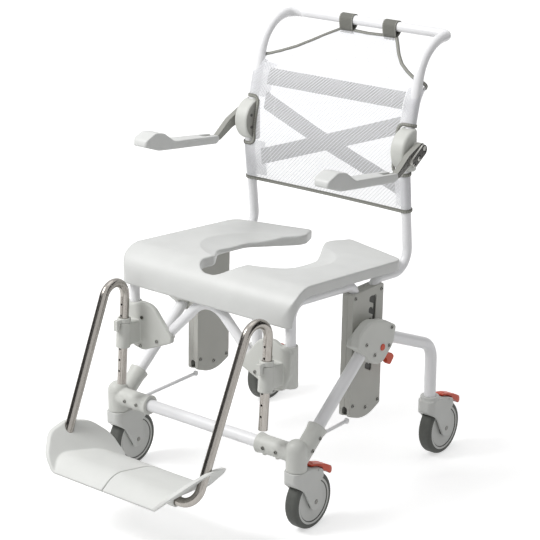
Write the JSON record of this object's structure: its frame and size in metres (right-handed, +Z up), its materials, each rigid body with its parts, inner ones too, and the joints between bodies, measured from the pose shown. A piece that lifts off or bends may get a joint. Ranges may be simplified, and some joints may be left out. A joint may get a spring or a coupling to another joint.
{
  "type": "shower commode chair",
  "caption": "Wheeled shower commode chair with open-front-notch horseshoe seat, mesh back, fold-up armrests, swing-away leg rests and braked casters.",
  "frame": {"origin": "middle of the bounding box on the floor under the casters", "axes": "+Z up, -Y the way the sitter faces, +X the sitter's left"},
  "size_m": [0.5512, 0.9145, 0.9712],
  "materials": {
    "white_tube": "smooth white powder coat",
    "grey_moulding": "satin light grey",
    "box_moulding": "satin mid grey",
    "seat_moulding": "soft light grey",
    "red_control": "satin red",
    "steel_tube": "brushed stainless",
    "steel_fitting": "bright steel",
    "mesh_fabric": "open white mesh",
    "dark_webbing": "woven dark grey",
    "caster_moulding": "satin grey",
    "tyre_rubber": "matte dark grey"
  },
  "bodies": {
    "base": {"side_tube_left": "white_tube", "side_tube_right": "white_tube", "front_cross_tube": "white_tube", "front_corner_left": "grey_moulding", "front_corner_right": "grey_moulding", "height_head_left": "grey_moulding", "height_head_right": "grey_moulding", "base_screws": "steel_fitting"},
    "seat_unit": {"seat_plate": "seat_moulding", "seat_rail_left": "white_tube", "seat_rail_right": "white_tube", "back_tube": "white_tube", "arch_tube": "white_tube", "legrest_bracket_left": "grey_moulding", "legrest_bracket_right": "grey_moulding", "side_box_outer_left": "box_moulding", "side_box_outer_right": "box_moulding", "side_box_inner_left": "box_moulding", "side_box_inner_right": "box_moulding", "back_mesh": "mesh_fabric", "back_straps": "dark_webbing", "arm_clamp_left": "grey_moulding", "arm_clamp_right": "grey_moulding", "seat_screws": "steel_fitting"},
    "caster_front_left": {"caster_fork_front_left": "caster_moulding", "wheel_axle_front_left": "steel_fitting"},
    "wheel_front_left": {"wheel_disc_front_left": "caster_moulding", "tyre_front_left": "tyre_rubber"},
    "pedal_front_left": {"brake_pedal_front_left": "red_control"},
    "caster_front_right": {"caster_fork_front_right": "caster_moulding", "wheel_axle_front_right": "steel_fitting"},
    "wheel_front_right": {"wheel_disc_front_right": "caster_moulding", "tyre_front_right": "tyre_rubber"},
    "pedal_front_right": {"brake_pedal_front_right": "red_control"},
    "caster_rear_left": {"caster_fork_rear_left": "caster_moulding", "wheel_axle_rear_left": "steel_fitting"},
    "wheel_rear_left": {"wheel_disc_rear_left": "caster_moulding", "tyre_rear_left": "tyre_rubber"},
    "pedal_rear_left": {"brake_pedal_rear_left": "red_control"},
    "caster_rear_right": {"caster_fork_rear_right": "caster_moulding", "wheel_axle_rear_right": "steel_fitting"},
    "wheel_rear_right": {"wheel_disc_rear_right": "caster_moulding", "tyre_rear_right": "tyre_rubber"},
    "pedal_rear_right": {"brake_pedal_rear_right": "red_control"},
    "lever_left": {"height_lever_left": "red_control"},
    "pin_left": {"lock_pin_left": "red_control"},
    "link_left": {"swing_link_left": "steel_fitting"},
    "armrest_left": {"arm_link_left": "grey_moulding", "arm_pad_left": "seat_moulding"},
    "collar_left": {"legrest_collar_left": "grey_moulding"},
    "legrest_left": {"legrest_tube_left": "steel_tube", "footplate_left": "grey_moulding"},
    "lever_right": {"height_lever_right": "red_control"},
    "pin_right": {"lock_pin_right": "red_control"},
    "link_right": {"swing_link_right": "steel_fitting"},
    "armrest_right": {"arm_link_right": "grey_moulding", "arm_pad_right": "seat_moulding"},
    "collar_right": {"legrest_collar_right": "grey_moulding"},
    "legrest_right": {"legrest_tube_right": "steel_tube", "footplate_right": "grey_moulding"}
  },
  "joints": [
    {"name": "seat_height", "type": "slide", "parent": "base", "child": "seat_unit", "axis": [0, 0.0872, 0.9962], "range_m": [-0.1, 0.05]},
    {"name": "swivel_front_left", "type": "hinge", "parent": "base", "child": "caster_front_left", "pos_m": [0.253, -0.14, 0.143], "axis": [0, 0, 1], "continuous": true},
    {"name": "roll_front_left", "type": "hinge", "parent": "caster_front_left", "child": "wheel_front_left", "pos_m": [0.253, -0.1, 0.0625], "axis": [1, 0, 0], "continuous": true},
    {"name": "brake_front_left", "type": "hinge", "parent": "caster_front_left", "child": "pedal_front_left", "pos_m": [0.253, -0.094, 0.133], "axis": [-1, 0, 0], "range_deg": [0, 8]},
    {"name": "swivel_front_right", "type": "hinge", "parent": "base", "child": "caster_front_right", "pos_m": [-0.253, -0.14, 0.143], "axis": [0, 0, 1], "continuous": true},
    {"name": "roll_front_right", "type": "hinge", "parent": "caster_front_right", "child": "wheel_front_right", "pos_m": [-0.253, -0.1, 0.0625], "axis": [1, 0, 0], "continuous": true},
    {"name": "brake_front_right", "type": "hinge", "parent": "caster_front_right", "child": "pedal_front_right", "pos_m": [-0.253, -0.094, 0.133], "axis": [-1, 0, 0], "range_deg": [0, 8]},
    {"name": "swivel_rear_left", "type": "hinge", "parent": "base", "child": "caster_rear_left", "pos_m": [0.253, 0.348, 0.143], "axis": [0, 0, 1], "continuous": true},
    {"name": "roll_rear_left", "type": "hinge", "parent": "caster_rear_left", "child": "wheel_rear_left", "pos_m": [0.253, 0.388, 0.0625], "axis": [1, 0, 0], "continuous": true},
    {"name": "brake_rear_left", "type": "hinge", "parent": "caster_rear_left", "child": "pedal_rear_left", "pos_m": [0.253, 0.394, 0.133], "axis": [-1, 0, 0], "range_deg": [0, 8]},
    {"name": "swivel_rear_right", "type": "hinge", "parent": "base", "child": "caster_rear_right", "pos_m": [-0.253, 0.348, 0.143], "axis": [0, 0, 1], "continuous": true},
    {"name": "roll_rear_right", "type": "hinge", "parent": "caster_rear_right", "child": "wheel_rear_right", "pos_m": [-0.253, 0.388, 0.0625], "axis": [1, 0, 0], "continuous": true},
    {"name": "brake_rear_right", "type": "hinge", "parent": "caster_rear_right", "child": "pedal_rear_right", "pos_m": [-0.253, 0.394, 0.133], "axis": [-1, 0, 0], "range_deg": [0, 8]},
    {"name": "height_lever_left", "type": "hinge", "parent": "base", "child": "lever_left", "pos_m": [0.253, 0.135, 0.337], "axis": [1, 0, 0], "range_deg": [0, 18], "stiffness_Nm_per_rad": 0.4, "springref_deg": -8.59},
    {"name": "lock_pin_left", "type": "slide", "parent": "base", "child": "pin_left", "axis": [1, 0, 0], "range_m": [0, 0.0051]},
    {"name": "swing_link_left", "type": "hinge", "parent": "base", "child": "link_left", "pos_m": [0.217, -0.106, 0.169], "axis": [1, 0, 0], "range_deg": [-35, 20]},
    {"name": "armrest_fold_left", "type": "hinge", "parent": "seat_unit", "child": "armrest_left", "pos_m": [0.247, 0.289, 0.742], "axis": [-1, 0, 0], "range_deg": [0, 90]},
    {"name": "legrest_swing_left", "type": "hinge", "parent": "seat_unit", "child": "collar_left", "pos_m": [0.199, -0.17111, 0.373], "axis": [0, 0.0872, 0.9962], "range_deg": [0, 80]},
    {"name": "legrest_height_left", "type": "slide", "parent": "collar_left", "child": "legrest_left", "axis": [0, 0.0872, 0.9962], "range_m": [-0.05, 0.05]},
    {"name": "height_lever_right", "type": "hinge", "parent": "base", "child": "lever_right", "pos_m": [-0.253, 0.135, 0.337], "axis": [1, 0, 0], "range_deg": [0, 18], "stiffness_Nm_per_rad": 0.4, "springref_deg": -8.59},
    {"name": "lock_pin_right", "type": "slide", "parent": "base", "child": "pin_right", "axis": [-1, 0, 0], "range_m": [0, 0.0051]},
    {"name": "swing_link_right", "type": "hinge", "parent": "base", "child": "link_right", "pos_m": [-0.217, -0.106, 0.169], "axis": [1, 0, 0], "range_deg": [-35, 20]},
    {"name": "armrest_fold_right", "type": "hinge", "parent": "seat_unit", "child": "armrest_right", "pos_m": [-0.247, 0.289, 0.742], "axis": [-1, 0, 0], "range_deg": [0, 90]},
    {"name": "legrest_swing_right", "type": "hinge", "parent": "seat_unit", "child": "collar_right", "pos_m": [-0.199, -0.17111, 0.373], "axis": [0, -0.0872, -0.9962], "range_deg": [0, 80]},
    {"name": "legrest_height_right", "type": "slide", "parent": "collar_right", "child": "legrest_right", "axis": [0, 0.0872, 0.9962], "range_m": [-0.05, 0.05]}
  ],
  "couplings": [
    {"joint": "lock_pin_left", "follows": "height_lever_left", "m_per_rad": 0.0159},
    {"joint": "swing_link_left", "follows": "seat_height", "rad_per_m": 5.35},
    {"joint": "lock_pin_right", "follows": "height_lever_right", "m_per_rad": 0.0159},
    {"joint": "swing_link_right", "follows": "seat_height", "rad_per_m": 5.35}
  ]
}
